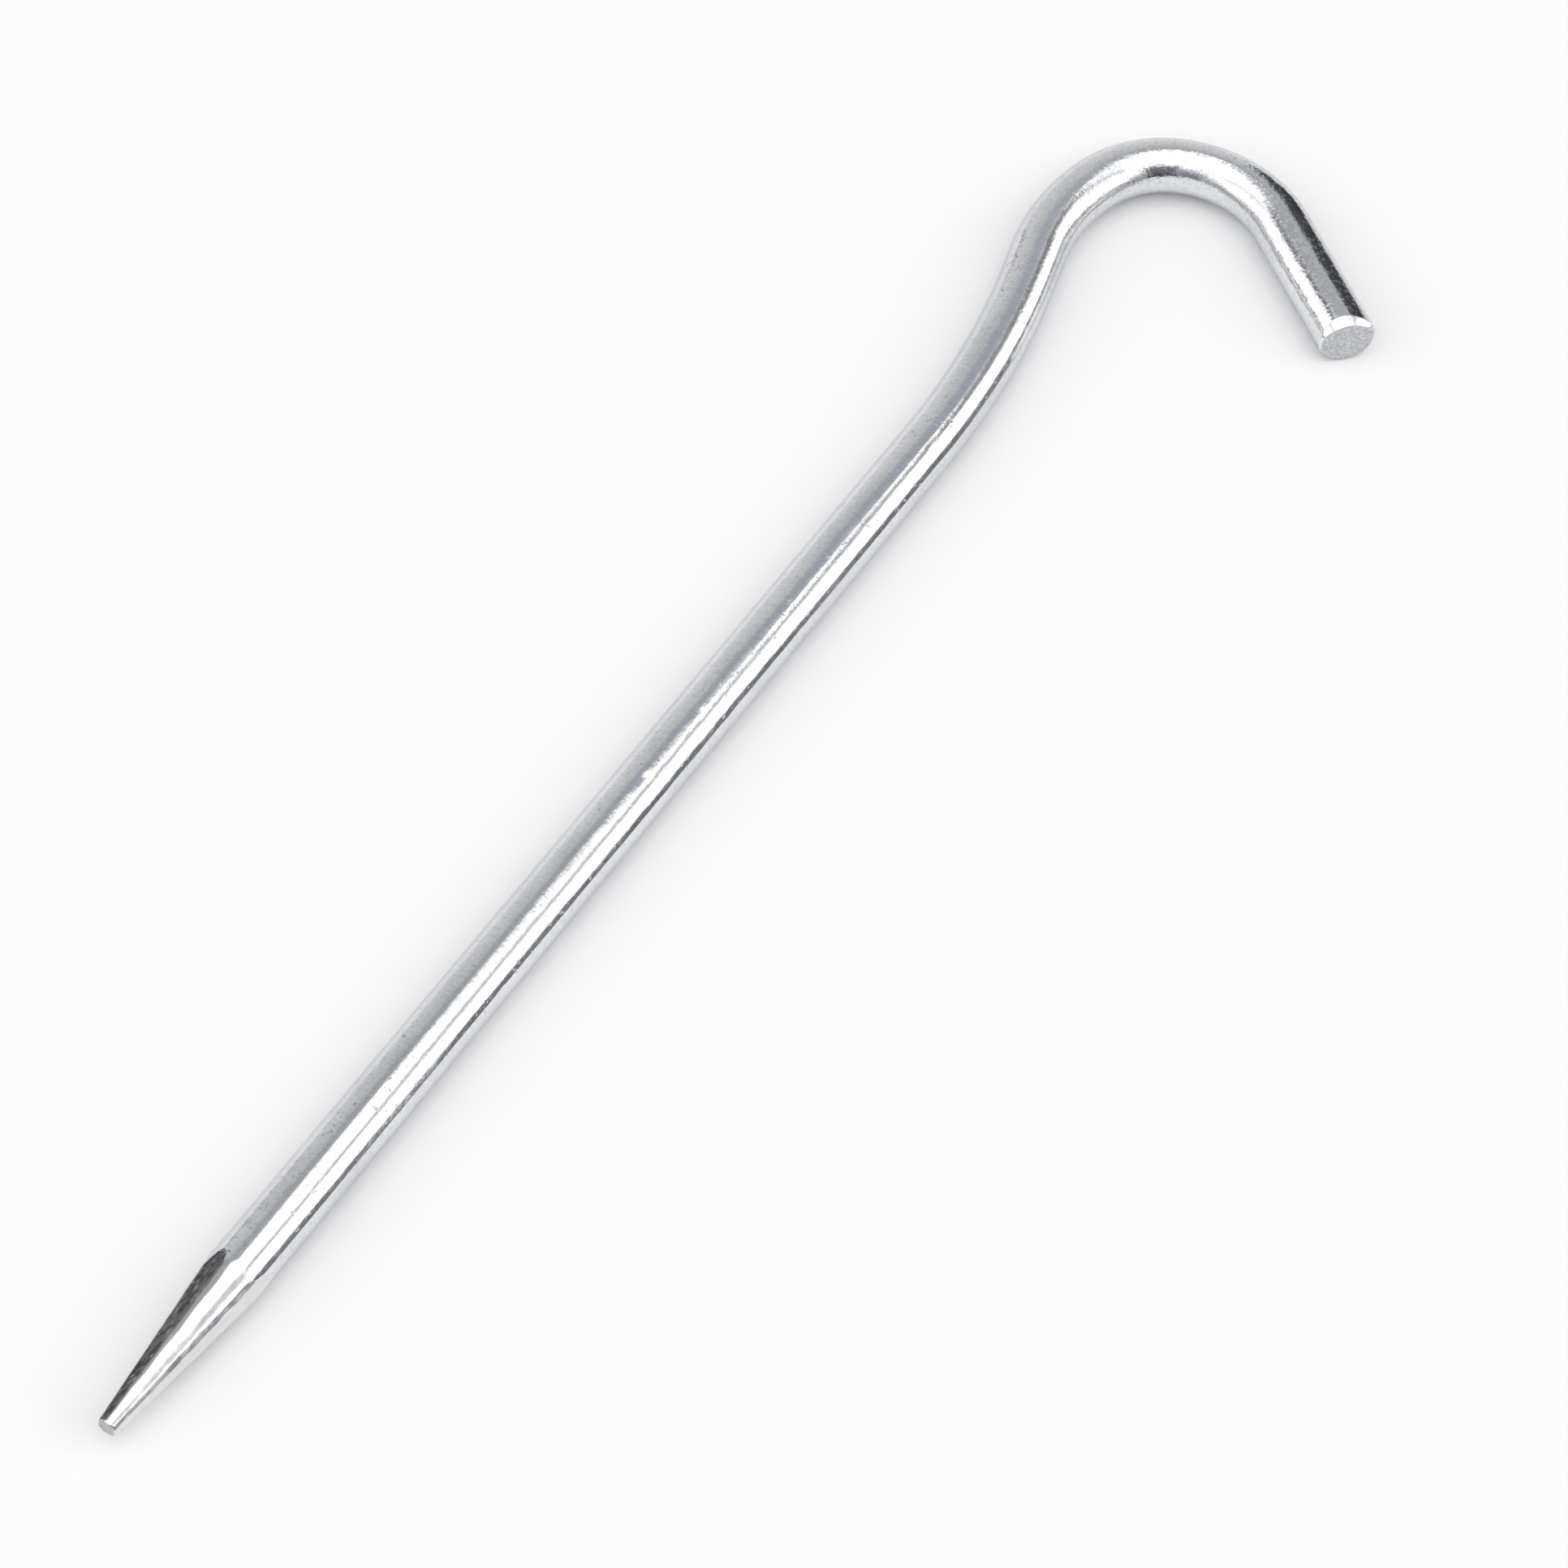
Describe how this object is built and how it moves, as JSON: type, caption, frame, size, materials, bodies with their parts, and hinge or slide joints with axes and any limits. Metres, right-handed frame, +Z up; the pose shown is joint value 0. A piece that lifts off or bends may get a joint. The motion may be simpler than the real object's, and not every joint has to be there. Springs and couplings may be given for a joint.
{
  "type": "tent stake",
  "caption": "Shepherd's-hook tent stake bent from round aluminium rod, with a ground faceted point and an open hook for a guy line.",
  "frame": {"origin": "bottom centre of the stake's own box, on the surface that it lies flat on", "axes": "+Y runs along the shank from the ground point to the hook, +X is the side that the hook opens to, +Z is up from the surface"},
  "size_m": [0.0352, 0.18, 0.0055],
  "materials": {
    "rod": "drawn and polished, with a ground matte point"
  },
  "bodies": {
    "root": {"stake": "rod"}
  },
  "joints": []
}
